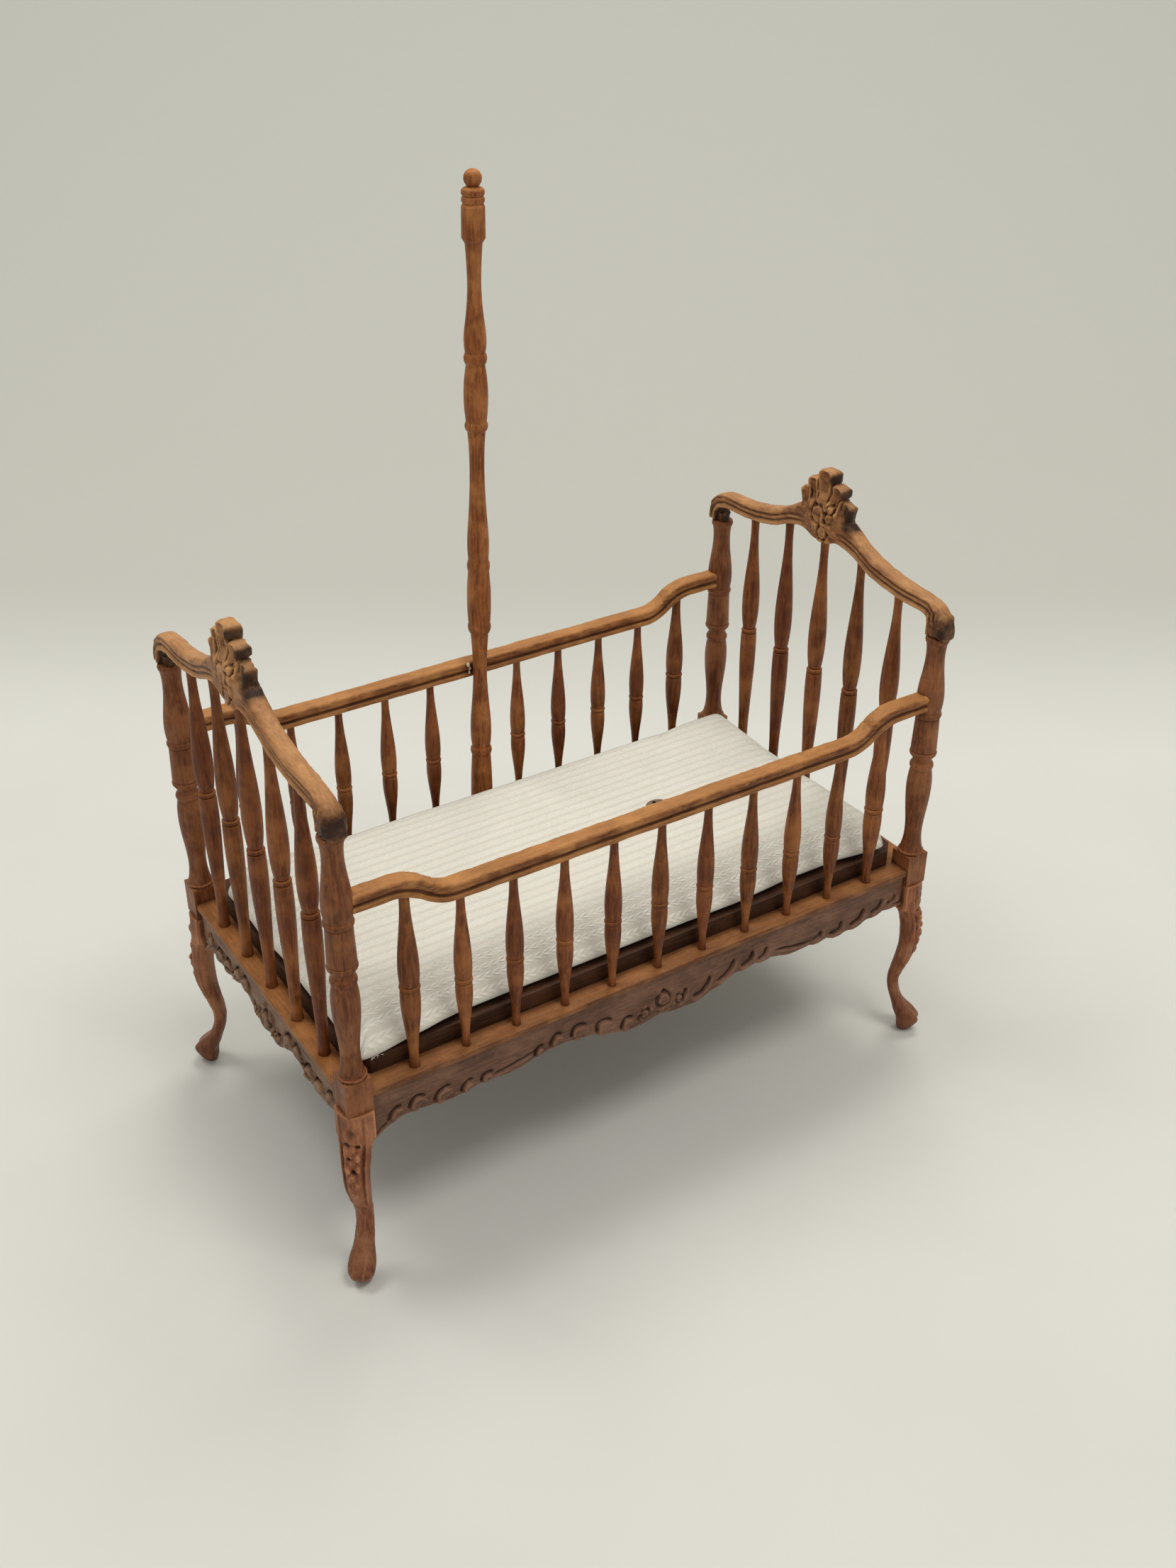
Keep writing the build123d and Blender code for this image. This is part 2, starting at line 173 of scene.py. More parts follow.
def sampled(volume, places):
    """A volume's values at places given in cells."""
    base = np.clip(np.floor(places).astype(int), 0, np.array(volume.shape) - 2)
    part = places - base
    total = 0
    for corner in range(8):
        bits = np.array([corner >> axis & 1 for axis in range(3)])
        weight = np.prod(np.where(bits, part, 1 - part), axis=1)
        total = total + weight * volume[tuple((base + bits).T)]
    return total


hollow_reach = 0.55            # how far round a place the hollow attribute looks


def skin(name, field, low, high, step):
    """A closed mesh where a field of signed distances is zero, all in mm.

    Its attribute hollow is above 0 in a recess and below 0 on an edge. Its attribute for scorched stain and
    painted shade is the field's second answer: how dark they are, from 0 to 1.
    """
    axes = [np.arange(a, b + step, step) for a, b in zip(low, high)]
    x, y, z = np.meshgrid(*axes, indexing="ij", sparse=True)
    depth, scorch_and_shade = field(x, y, z)
    shape = tuple(len(a) for a in axes)
    depth = np.ascontiguousarray(np.broadcast_to(depth, shape), np.float32)
    solid = depth < 0
    offsets = np.zeros((3,) + tuple(n - 1 for n in shape), np.float32)
    count = np.zeros(offsets.shape[1:], np.float32)

    def corner_view(volume, bits):
        return volume[tuple(slice(1, None) if bit else slice(0, -1) for bit in bits)]

    for axis in range(3):
        for pair in range(4):
            bits = [0, 0, 0]
            bits[(axis + 1) % 3] = pair & 1
            bits[(axis + 2) % 3] = pair >> 1
            start = corner_view(depth, bits)
            far = list(bits)
            far[axis] = 1
            end = corner_view(depth, far)
            crossed = ((start < 0) != (end < 0)).astype(np.float32)
            along = start / np.where(start == end, 1, start - end)
            count += crossed
            for other in range(3):
                offsets[other] += crossed * (along if other == axis else bits[other])
    active = np.argwhere(count > 0)
    picked = tuple(active.T)
    places = active + (offsets[(slice(None),) + picked] / count[picked]).T
    ids = np.full(count.shape, -1, np.int64)
    ids[picked] = np.arange(len(active))
    faces = []
    for axis in range(3):
        order = (axis, (axis + 1) % 3, (axis + 2) % 3)
        grid = np.transpose(solid, order)
        cells = np.transpose(ids, order)
        first = grid[:-1, 1:-1, 1:-1]
        second = grid[1:, 1:-1, 1:-1]
        for leaves, turn in ((first & ~second, 1), (second & ~first, -1)):
            i, j, k = np.nonzero(leaves)
            ring = (cells[i, j, k], cells[i, j + 1, k], cells[i, j + 1, k + 1], cells[i, j, k + 1])
            faces.append(np.stack(ring[::turn], 1))
    faces = np.concatenate(faces)
    reach = max(1, round(hollow_reach / step))
    hollow = -sampled(averaged(np.clip(depth, -1, 1), reach), places) / (reach * step)
    points = places * step + np.array(low)
    mesh = bpy.data.meshes.new(name)
    mesh.from_pydata((points * MM).tolist(), [], faces.tolist())
    mesh.polygons.foreach_set("use_smooth", np.ones(len(faces), bool))
    mesh.attributes.new("hollow", "FLOAT", "POINT").data.foreach_set("value", hollow.astype(np.float32))
    burn_and_shade = sampled(np.broadcast_to(scorch_and_shade, shape), places)
    mesh.attributes.new("scorch_and_shade", "FLOAT", "POINT").data.foreach_set("value", burn_and_shade.astype(np.float32))
    piece = bpy.data.objects.new(name, mesh)
    bpy.context.scene.collection.objects.link(piece)
    return piece


def fit(piece, node, material):
    """A sculpted piece takes a CAD node's place on the cot."""
    piece.data.materials.append(material)
    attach(piece, "cot")
    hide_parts(node)


# ------------------------ materials
class Shader:
    """A node material, with its nodes made one call each."""

    def __init__(self, name):
        self.material = bpy.data.materials.new(name)
        self.material.use_nodes = True
        self.tree = self.material.node_tree
        self.surface = self.tree.nodes["Principled BSDF"]

    def connect(self, value, socket):
        """Links another node's output, or sets a plain value."""
        if isinstance(value, bpy.types.NodeSocket):
            self.tree.links.new(value, socket)
        else:
            socket.default_value = value

    def node(self, kind, inputs=(), out=0, **settings):
        """A new node's output."""
        made = self.tree.nodes.new("ShaderNode" + kind)
        for key, value in settings.items():
            setattr(made, key, value)
        for key, value in dict(inputs).items():
            self.connect(value, made.inputs[key])
        return made.outputs[out]

    def texture(self, stretch, detail=3.0, rough=0.55, shift=(0, 0, 0)):
        """Noise with features of the given sizes along X, Y and Z, in millimetres."""
        where = self.node("TexCoord", out="Object")
        scale = tuple(1 / (size * MM) for size in stretch)
        placed = self.node("Mapping", {"Vector": where, "Scale": scale, "Location": shift})
        return self.node("TexNoise", {"Vector": placed, "Scale": 1.0, "Detail": detail, "Roughness": rough})

    def remap(self, value, low, high, to_low=0.0, to_high=1.0, smooth=True):
        """A value carried from one range to another and held within it."""
        kind = "SMOOTHSTEP" if smooth else "LINEAR"
        ends = {"Value": value, "From Min": low, "From Max": high, "To Min": to_low, "To Max": to_high}
        return self.node("MapRange", ends, interpolation_type=kind)

    def math(self, operation, a, b=0.0):
        """One step of arithmetic."""
        return self.node("Math", {0: a, 1: b}, operation=operation)

    def mix(self, factor, a, b):
        """Colours mixed by a factor."""
        return self.node("Mix", {0: factor, 6: a, 7: b}, out=2, data_type="RGBA")

    def finish(self, colour, roughness, height, bump_mm, soft_edge=0, **plain):
        """The material, with fine relief bump_mm high and, where soft_edge isn't 0, its edges rounded."""
        self.connect(colour, self.surface.inputs["Base Color"])
        self.connect(roughness, self.surface.inputs["Roughness"])
        ends = {"Height": height, "Strength": 1.0, "Distance": bump_mm * MM}
        if soft_edge:
            ends["Normal"] = self.node("Bevel", {"Radius": soft_edge * MM}, samples=4)
        bump = self.node("Bump", ends)
        self.connect(bump, self.surface.inputs["Normal"])
        for key, value in plain.items():
            self.surface.inputs[key.replace("_", " ")].default_value = value
        return self.material


def srgb(r, g, b):
    """A colour given as a screen shows it."""
    return tuple(((c / 255 + 0.055) / 1.055) ** 2.4 for c in (r, g, b)) + (1.0,)


def scaled(colour, share):
    """A colour made darker or lighter."""
    return tuple(share * c for c in colour[:3]) + (1,)


# Near-black: the stain of a scorched end, and also painted shade in cuts, holes and recesses.
scorch_and_shade_colour = (0.022, 0.009, 0.005, 1)


def wood(name, grain, colours, seed, painted_top_light=0.5, carved=False):
    """Stained wood, dark to light, with its grain along axis 0, 1 or 2: painted light makes it paler on top
    and painted shade darker in corners.
    """
    s = Shader(name)
    dark, middle, light = (srgb(*colour) for colour in colours)

    def grained(across, along):
        size = [across, across, across]
        size[grain] = along
        return size

    fibres = s.texture(grained(0.45, 7.0), 4.0, 0.6, (seed, 3.1, 1.7))
    pores = s.texture(grained(0.16, 1.1), 2.0, 0.5, (seed, 0.4, 2.9))
    blotches = s.texture((6.5, 6.5, 6.5), 3.0, 0.55, (seed, 7.7, 5.1))
    grime = s.texture((1.6, 1.6, 1.6), 3.0, 0.6, (seed, 2.2, 9.4))
    wear = s.texture(grained(0.8, 2.6), 4.0, 0.65, (seed, 6.3, 4.8))
    tone = s.mix(s.remap(fibres, 0.3, 0.68), dark, middle)
    tone = s.mix(s.remap(blotches, 0.42, 0.68, 0.0, 0.55), tone, light)
    tone = s.mix(s.remap(wear, 0.5, 0.75, 0.0, 0.4), tone, light)
    tone = s.mix(s.remap(wear, 0.5, 0.27, 0.0, 0.38), tone, scaled(dark, 0.75))
    tone = s.mix(s.remap(grime, 0.5, 0.8, 0.0, 0.3), tone, dark)
    tone = s.mix(s.remap(pores, 0.58, 0.76, 0.0, 0.35), tone, scaled(dark, 0.35))
    # Painted light: faces that point up are made paler, as if lit from above.
    up = s.node("SeparateXYZ", {0: s.node("NewGeometry", out="Normal")}, out=2)
    tone = s.mix(s.remap(up, 0.25, 0.95, 0.0, painted_top_light), tone, scaled(light, 1.35))
    # Painted shade: corners and crevices darkened from ambient occlusion.
    painted_crevice_shade = s.node("AmbientOcclusion", {"Distance": 1.6 * MM}, out="AO", samples=6)
    tone = s.mix(s.remap(painted_crevice_shade, 0.3, 0.85, 0.6, 0.0), tone, scaled(dark, 0.45))
    if carved:
        hollow = s.node("Attribute", out="Fac", attribute_name="hollow")
        scorch_and_shade = s.node("Attribute", out="Fac", attribute_name="scorch_and_shade")
        # Painted shade: recesses of the carving darkened.
        tone = s.mix(s.remap(hollow, 0.05, 0.34, 0.0, 0.8), tone, scaled(dark, 0.6))
        # Edges and raised lobes lighter: partly real wear, partly painted highlight.
        tone = s.mix(s.remap(hollow, -0.1, -0.45, 0.0, 0.5), tone, scaled(light, 1.3))
        # Near-black where the field's second answer is high: scorched stain and painted shade.
        tone = s.mix(s.remap(scorch_and_shade, 0.0, 0.85, 0.0, 0.94, smooth=False), tone, scorch_and_shade_colour)
    rough = s.remap(wear, 0.3, 0.7, 0.36, 0.55)
    height = s.math("MULTIPLY", fibres, 0.6)
    height = s.math("ADD", height, s.math("MULTIPLY", s.remap(pores, 0.52, 0.7), -0.5))
    height = s.math("ADD", height, s.math("MULTIPLY", wear, 0.9))
    soft_edge = 0 if carved else 0.14
    return s.finish(tone, rough, height, 0.07, soft_edge, Specular_IOR_Level=0.24)


# The way the grain runs.
LENGTHWISE = 0
CROSSWISE = 1
UPRIGHT = 2

turned_stains = (
    wood("TurnedWood", UPRIGHT, ((86, 42, 17), (132, 74, 33), (172, 110, 56)), 1.0),
    wood("TurnedWoodPale", UPRIGHT, ((94, 46, 21), (142, 80, 40), (182, 116, 62)), 5.0),
    wood("TurnedWoodDeep", UPRIGHT, ((84, 40, 18), (128, 68, 32), (166, 100, 52)), 9.0),
)
wood_crest = wood("CrestWood", CROSSWISE, ((100, 54, 30), (160, 103, 60), (208, 154, 100)), 2.0, 0.35, True)
wood_pole = wood("PoleWood", UPRIGHT, ((108, 54, 22), (162, 94, 46), (202, 134, 74)), 13.0)
wood_post = wood("PostWood", UPRIGHT, ((92, 46, 22), (136, 80, 44), (172, 112, 70)), 14.0, 0.3)
wood_rail = wood("RailWood", LENGTHWISE, ((86, 44, 20), (146, 88, 44), (202, 142, 82)), 3.0, 0.4, True)
wood_leg = wood("LegWood", UPRIGHT, ((108, 56, 32), (156, 94, 60), (194, 134, 94)), 4.0, 0.25, True)
wood_apron = wood("ApronWood", LENGTHWISE, ((84, 54, 40), (118, 82, 64), (144, 104, 80)), 6.0, 0.25, True)
wood_end = wood("ApronEndWood", CROSSWISE, ((84, 54, 38), (126, 90, 66), (156, 118, 88)), 7.0, 0.25, True)
wood_board = wood("BoardWood", LENGTHWISE, ((80, 42, 20), (124, 76, 42), (166, 112, 66)), 8.0, 0.3)
wood_board_end = wood("BoardEndWood", CROSSWISE, ((86, 46, 22), (142, 86, 44), (182, 122, 68)), 10.0, 0.3)
# Partly the platform's dark stain and partly painted shade from the mattress that overhangs it.
shaded_platform_wood = wood("ShadedPlatformWood", LENGTHWISE, ((40, 22, 12), (66, 38, 22), (92, 56, 32)), 11.0, 0.15)
wood_lug = wood("LugWood", LENGTHWISE, ((70, 52, 42), (112, 88, 70), (140, 112, 90)), 12.0, 0.3)

cad_materials = {
    "front_frame_rail": wood_board,
    "rear_frame_rail": wood_board,
    "left_frame_rail": wood_board_end,
    "right_frame_rail": wood_board_end,
    "mattress_platform": shaded_platform_wood,
    "front_rail_lug": wood_lug,
    "canopy_pole": wood_pole,
}
# Neighbouring spindles take different stains, in no plain order.
for number, name in enumerate(sorted(n for n in nodes if "spindle" in n)):
    cad_materials[name] = turned_stains[(number * 7 + number // 3) % 3]
for name in (n for n in nodes if n.endswith("_post")):
    cad_materials[name] = wood_post
for name, material in cad_materials.items():
    nodes[name].material_slots[0].material = material


# ------------------------ crest rails
# Half outlines, as distances from the rail's middle and heights above the frame: the band's top and
# underside, and the inner edges of its ends over the front post and the rear post.
band_top = curve_through([
    (6.6, 61.2), (9.8, 59.3), (12.7, 57.9), (17.6, 56.5), (22.5, 55.7), (27.4, 55.3),
    (30.8, 54.7), (33.0, 53.3), (34.0, 51.4), (34.2, 48.7),
])
band_under = curve_through([
    (0, 55.6), (2.4, 56.0), (5.0, 56.7), (9.0, 55.9), (14.0, 53.9), (21.0, 52.6), (27.6, 52.4),
])
block_inner = [(28.9, 52.25), (29.6, 51.7), (29.85, 50.8), (29.85, 48.7)]
scroll_inner = [(29.4, 52.3), (31.0, 51.7), (31.9, 50.6), (32.1, 48.7)]
crest_bottom = 48.65
post_inner = 29.85
crest_end = 34.2
crest_half_thickness = 1.72
# The lobes of the shell: middle, half sizes, degrees of lean and corner radius.
fan_lobes = [
    ((0.0, 65.3), (1.95, 4.1), 0, 0.9),
    ((2.95, 63.7), (1.6, 3.5), 9, 0.7),
    ((4.95, 61.9), (1.7, 2.9), 15, 0.7),
]


# The dark patches in the shell's notches, painted shade, and one on an end: place, size and strength.
crest_dark_patches = [
    ((-7.4, 61.2), 1.4, 1.7), ((-6.2, 63.4), 1.0, 1.5), ((-4.7, 65.9), 1.05, 1.6),
    ((-2.1, 68.0), 0.95, 1.5), ((6.8, 62), 0.9, 0.5), ((33.8, 51), 1.4, 0.3),
]


def flower(d, z, middle, size, petals, turn):
    """The height of a carved flower: a boss, its petals, and drilled holes between them."""
    radius = np.hypot(d - middle[0], z - middle[1]) / size
    angle = np.arctan2(z - middle[1], d - middle[0]) + turn
    boss = 0.5 * ease(radius, 1.0, 0.8)
    petal_tip = 0.35 * np.cos(petals * angle + 3.1)
    lobes = ease(radius, 2.35 - petal_tip, 1.9 - petal_tip)
    leaf = lobes * (0.26 + 0.16 * np.cos(petals * angle))
    ring = -0.45 * ridge(radius - 1.2, 0.2)
    drilled = -0.75 * ridge(radius - 1.35, 0.25) * ridge(np.sin(angle * petals / 4 + 0.6), 0.35)
    return boss + leaf + ring + drilled


def crest_field(side):
    """One crest rail about its own middle line, with its shell, flowers and reeds on both faces."""
    middle_x = side * half_x

    def field(x, y, z):
        d = y[0] + 0 * z[0]
        up = z[0] - frame_top + 0 * y[0]
        across = np.abs(d)
        front_path = band_under + block_inner
        end_foot = [(post_inner, crest_bottom), (crest_end, crest_bottom)]
        band = front_path + end_foot + band_top[::-1] + [(0, 62.0)]
        outline = outline_distance(across, up, band)
        fan = np.full(d.shape, 9.0)
        seams = 0
        scoops = 0
        for (u, v), half, turn, radius in fan_lobes:
            for sign in ((1, -1) if u else (1,)):
                lobe = rounded_box(sign * d, up, (u, v), half, turn, radius)
                c = math.cos(math.radians(turn))
                s = math.sin(math.radians(turn))
                sideways = c * (sign * d - u) - s * (up - v)
                along = s * (sign * d - u) + c * (up - v)
                seams = seams + ridge(lobe, 0.22) * ease(along, -1.2, 0.2)
                scoop = ridge(sideways, 0.62 * half[0]) * ease(along, -1.6, 0.4)
                scoops = scoops + scoop * ease(lobe, -0.1, -0.5)
                fan = blend_min(fan, lobe, 0.25)
        outline = blend_min(outline, fan, 0.5)
        rear_path = band_under + scroll_inner
        reeds = line_distance(across, up, front_path)
        reeds = np.where(d > 20, line_distance(across, up, rear_path), reeds)
        apart = ease(across, 3.4, 6.5)
        cut = 0.5 * ridge(reeds - 1.0, 0.36) + 0.45 * ridge(reeds - 1.95, 0.34)
        scroll = outline_distance(across, up, rear_path + [(29.0, crest_bottom), (20.0, 52.6)])
        web = (d > 20) * ease(-scroll, -0.1, 0.25) * ease(across, 28.6, 29.4) * ease(up, 52.4, 51.8)
        comb = (0.5 + 0.5 * np.cos(across * 6.0)) * (d < 0)
        comb = comb * ease(up, 53.8, 52.6) * ease(across, 28.8, 29.6)
        centre = ease(across, 7.5, 4.5) * ease(up, 64.5, 62.8)
        blossoms = flower(d, up, (0.55, 60.9), 1.5, 7, 0.4)
        blossoms = blossoms + flower(d, up, (-0.9, 57.6), 1.1, 5, 1.3)
        blossoms = blossoms + flower(d, up, (-2.6, 62.6), 0.7, 5, 0.2)
        thickness = crest_half_thickness - apart * cut
        thickness = thickness - 0.65 * web - 0.65 * seams - 0.85 * scoops - 0.2 * comb
        thickness = thickness + centre * (0.1 + np.clip(blossoms, -0.85, 0.6))
        thickness = thickness + 0.35 * ease(across, 29.2, 31.0) * ease(up, 53.6, 52.2) * (1 - web)
        thickness = np.minimum(thickness, 2.2)
        shoulder = 0.35 + 0.95 * ease(reeds, 1.6, 2.9) * apart
        waver = 0.07 * noise(x, y, z, (3, 1.6, 1.6), 11) + 0.045 * noise(x, y, z, 0.8, 12)
        past_face = np.abs(x - middle_x) - thickness[None]
        depth = rounded_corner(outline[None], past_face, shoulder[None]) + waver
        depth = np.maximum(depth, frame_top + crest_bottom - z)
        # Painted shade, near black, in the recessed web under each rear scroll, and darker by the ends
        # below the band.
        burn_and_shade = 0.95 * web + 0.32 * ease(across, 29.0, 31.0) * ease(up, 54.6, 52.6)
        for (place, height), size, strength in crest_dark_patches:
            burn_and_shade = burn_and_shade + strength * ridge(np.hypot(d - place, up - height), size)
        burn_and_shade = burn_and_shade + 1.1 * ridge(np.hypot((d + 33.6) / 1.5, (up - 50.6) / 1.7), 1)
        scorch_and_shade = np.clip(burn_and_shade, 0, 1)[None] * (0.8 + 0.3 * noise(x, y, z, 1.1, 13))
        return depth, scorch_and_shade

    return field


# ------------------------ legs
# Heights, how far the section stands outwards along the diagonal, its depth along it and width across it.
leg_stations = [
    (0.0, 2.8, 1.9, 2.2), (0.9, 3.1, 3.1, 3.4), (2.8, 3.55, 4.4, 4.7), (4.6, 2.65, 4.0, 4.5),
    (7.0, 1.1, 2.55, 3.5), (10.0, 0.0, 2.2, 2.95), (13.0, -0.15, 2.3, 3.0), (16.5, 0.75, 2.8, 3.4),
    (20.5, 1.6, 3.4, 4.1), (24.5, 1.7, 3.6, 4.5), (28.0, 1.25, 3.8, 5.0), (32.0, 0.4, 4.0, 5.4),
    (36.4, 0.2, 4.0, 5.2),
]
leg_top = 36.3
stile_bottom = 31.2
stile_half = 2.2
stile_in = 0.05
bracket_reach = 5.0
bracket_bottom = 32.2
bracket_half = 0.55
apron_out = -box_mm("front_apron")[0][1] - half_y
squareness = 2.5               # of a leg's section: 2 is an ellipse
# The carving down a leg's outer corner: drilled holes and petals, each a place across and up, and a radius.
# The petals stand higher by petal_lift.
leg_holes = [
    (-0.1, 32.9, 0.55), (-0.95, 30.2, 0.34), (0.75, 30.4, 0.45), (-0.25, 25.2, 0.4), (0.5, 27.8, 0.28),
]
petal_lift = 2.0
leg_petals = [
    (-0.9, 30.4, 0.85), (0.85, 30.6, 0.85), (-0.1, 29.4, 0.7), (0.1, 32.2, 0.8), (-0.2, 27.0, 0.95),
    (-1.05, 26.2, 0.7), (0.95, 26.8, 0.8), (-0.1, 24.8, 0.9), (0.75, 23.6, 0.8), (-0.95, 23.9, 0.7),
    (0.1, 21.9, 0.95), (-0.55, 20.3, 0.75), (0.4, 19.5, 0.8), (0.0, 17.8, 0.75),
]


def leg_field(sx, sy):
    """A cabriole leg: a carved strip down its outer corner, a square stile, and brackets in the aprons."""
    heights, *columns = zip(*leg_stations)
    curves = [np.array(curve_through(list(zip(heights, column)))).T for column in columns]

    def field(x, y, z):
        out_of, depth_of, width_of = (np.interp(z, *curve) for curve in curves)
        depth_of = depth_of / 2
        width_of = width_of / 2
        in_x = sx * x - half_x
        in_y = sy * y - half_y
        outward = (in_x + in_y) / math.sqrt(2) - out_of
        across = (in_x - in_y) / math.sqrt(2)
        front = ease(outward, 0.1, 0.9)
        carved = ease(z, 15.6, 16.8) * ease(z, leg_top, 35.5)
        drilled = 0
        petals = 0
        bent = across + 0.22 * noise(x, y, z, 1.3, 27)
        lifted = z + 0.3 * noise(x, y, z, 1.3, 28)
        for place, height, radius in leg_holes:
            drilled = drilled + ridge(np.hypot(bent - place, lifted - height), radius)
        for place, height, radius in leg_petals:
            reach = np.hypot(1.15 * (bent - place), 0.8 * (lifted - height - petal_lift))
            boldness = 0.75 + 0.25 * math.sin(7 * height)
            petals = np.maximum(petals, ease(reach, 1.3 * radius, 0.35 * radius) * boldness)
        panel = ease(np.abs(across), 0.72 * width_of, 0.6 * width_of)
        border = 0.15 * ridge(np.abs(across) - 0.88 * width_of, 0.3)
        border = border - 0.25 * ridge(np.abs(across) - 0.7 * width_of, 0.2)
        relief = carved * front * (panel * (0.66 * petals + 0.12) + border - 0.65 * drilled)
        tip = ease(z, 12.2, 13.6) * ease(z, 16.2, 15.0) * front
        tip = tip * ridge(across, 0.15 + 0.3 * ease(z, 12.2, 16.2))
        scroll = ridge(across - 1.0, 0.35) + ridge(across + 1.0, 0.35) - 0.5
        scroll = 0.22 * ease(z, 7.5, 5.2) * ease(z, 0.4, 1.6) * scroll
        ridge_line = 0.14 * ridge(outward - 0.15, 0.22) * ease(z, 5.5, 8.5)
        size = np.abs(outward / depth_of) ** squareness + np.abs(across / width_of) ** squareness
        size = (size + 1e-6) ** (1 / squareness)
        body = (size - 1) * np.minimum(depth_of, width_of)
        body = body - relief - 0.3 * tip - scroll * front - ridge_line
        stile = np.maximum(np.abs(in_x + stile_in), np.abs(in_y + stile_in)) - stile_half
        stile = np.maximum(stile, stile_bottom - z) + 0.05
        depth = blend_min(body, stile, 0.7)
        for run, cross in ((in_x, in_y), (in_y, in_x)):
            bracket = np.abs(cross - (apron_out - 1.1)) - bracket_half
            bracket = np.maximum(np.abs(run + bracket_reach / 2) - bracket_reach / 2, bracket)
            bracket = np.maximum(bracket, bracket_bottom - z)
            joined = blend_min(depth, bracket, 3.0)
            held_back = np.maximum(joined, cross - (apron_out - 0.75))
            depth = np.where(run < -stile_half - stile_in, held_back, joined)
        depth = depth + 0.05 * noise(x, y, z, 1.3, 21 + sx) + 0.06 * noise(x, y, z, 3.5, 25 + sy)
        depth = np.maximum(depth, np.maximum(z - leg_top, -z))
        # Painted shade in the drilled holes, and darker towards the foot.
        scorch_and_shade = 0.75 * carved * front * drilled + 0.3 * ease(z, 13.0, 6.0)
        return depth, scorch_and_shade + 0 * depth

    return field


# ------------------------ aprons
# The two halves of a lower edge, as shares of the half length and drops below the top. Both start alike.
edge_start = [
    (0.0, 8.9), (0.10, 9.6), (0.19, 8.5), (0.28, 6.9), (0.40, 6.3), (0.53, 7.7), (0.64, 7.4), (0.74, 8.0),
]
left_edge = edge_start + [(0.87, 7.2), (0.94, 7.9), (1.0, 9.8)]
right_edge = edge_start + [(0.85, 7.2), (0.93, 6.7), (1.0, 7.0)]
# Carved strokes: share of the half length, height above the edge, radius, and the sector of the circle, in
# degrees. The leaf is inside the circle, or outside it where the sector starts below 0.
lobe_strokes = [
    (0.05, 1.5, 1.6, 60, 215), (0.118, 1.2, 1.75, 55, 205), (0.2, 0.9, 2.3, 60, 200),
    (0.295, 0.9, 2.1, 60, 195), (0.38, 1.0, 1.5, 50, 200), (0.445, 0.9, 1.0, 40, 230),
    (0.625, 0.7, 1.2, 35, 220), (0.69, 0.6, 1.3, 50, 205), (0.765, 0.9, 2.0, 60, 195),
    (0.85, 1.0, 1.9, 55, 195), (0.925, 1.2, 1.5, 50, 195),
]
flame_strokes = [
    (0.06, 3.9, 1.9, -130, 15), (0.145, 3.5, 2.2, -125, 10), (0.24, 3.4, 2.3, -120, 5),
    (0.325, 3.1, 2.1, -115, 0), (0.39, 2.6, 1.6, -110, 10), (0.625, 2.0, 1.2, -120, 5),
    (0.70, 2.7, 1.9, -115, 8), (0.79, 3.2, 2.1, -115, 0), (0.875, 3.0, 1.8, -110, 5),
    (0.94, 3.0, 1.6, -110, 0),
]
end_strokes = [
    (0.06, 2.1, 1.6, 50, 215), (0.16, 1.4, 1.4, 50, 210), (0.30, 1.7, 1.9, 45, 205),
    (0.44, 1.6, 1.9, 50, 200), (0.58, 1.6, 1.9, 50, 205), (0.72, 1.7, 1.8, 50, 200),
    (0.86, 1.8, 1.6, 50, 205),
]


def stroke_relief(along, above, centre, height, radius, start, end):
    """A carved stroke's cut, and the leaf that it outlines."""
    du = along - centre
    dv = above - height
    reach = np.hypot(du, dv) - radius
    angle = np.degrees(np.arctan2(dv, du))
    half = (end - start) / 2
    away = np.abs((angle - (start + end) / 2 + 180) % 360 - 180)
    sector = ease(away, half + 8, half - 22)
    leaf_side = reach if start < 0 else -reach
    inner = ridge(np.maximum(leaf_side, 0), 0.2)
    beyond = np.minimum(leaf_side, 0)
    outer = 0.7 * ridge(beyond, 0.2) + 0.3 * ridge(beyond, 0.8)
    cut = np.where(leaf_side > 0, inner, outer) * sector
    if start < 0:
        leaf = ease(leaf_side, 0.1, 0.6) * ease(leaf_side, 2.2, 0.6) * sector
    else:
        leaf = ease(leaf_side, 0.0, 0.55) * ease(away, half + 75, half + 15)
    return cut, leaf


